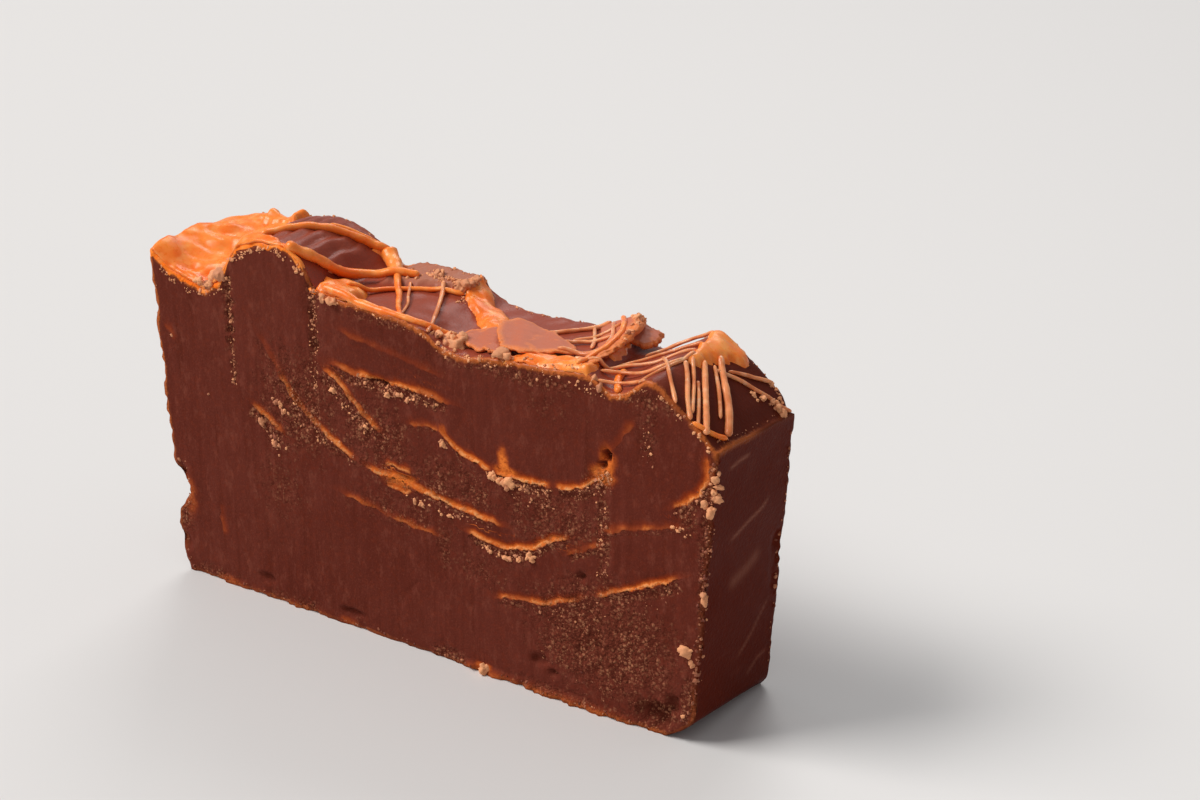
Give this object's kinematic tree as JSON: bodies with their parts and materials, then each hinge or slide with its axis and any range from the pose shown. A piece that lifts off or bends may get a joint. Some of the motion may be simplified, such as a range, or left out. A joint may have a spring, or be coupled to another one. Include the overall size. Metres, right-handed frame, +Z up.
{
  "type": "chocolate fudge slice",
  "caption": "Upright slice of dark chocolate fudge cut from a loaf, with two flat cut faces and a rippled, folded top under a broken drizzle of orange icing.",
  "frame": {"origin": "middle of the flat bottom that the slice stands on", "axes": "+X along the slice towards its lower end, +Y through its thickness from the front cut to the back cut, +Z up"},
  "size_m": [0.1296, 0.0264, 0.0753],
  "materials": {
    "fudge": "dark reddish-brown fudge, smooth and slightly greasy where the wire cut it, dull and crumbly where it broke",
    "icing": "bright orange icing with a soft gloss"
  },
  "bodies": {
    "root": {"fudge_slice": "fudge"}
  },
  "joints": []
}
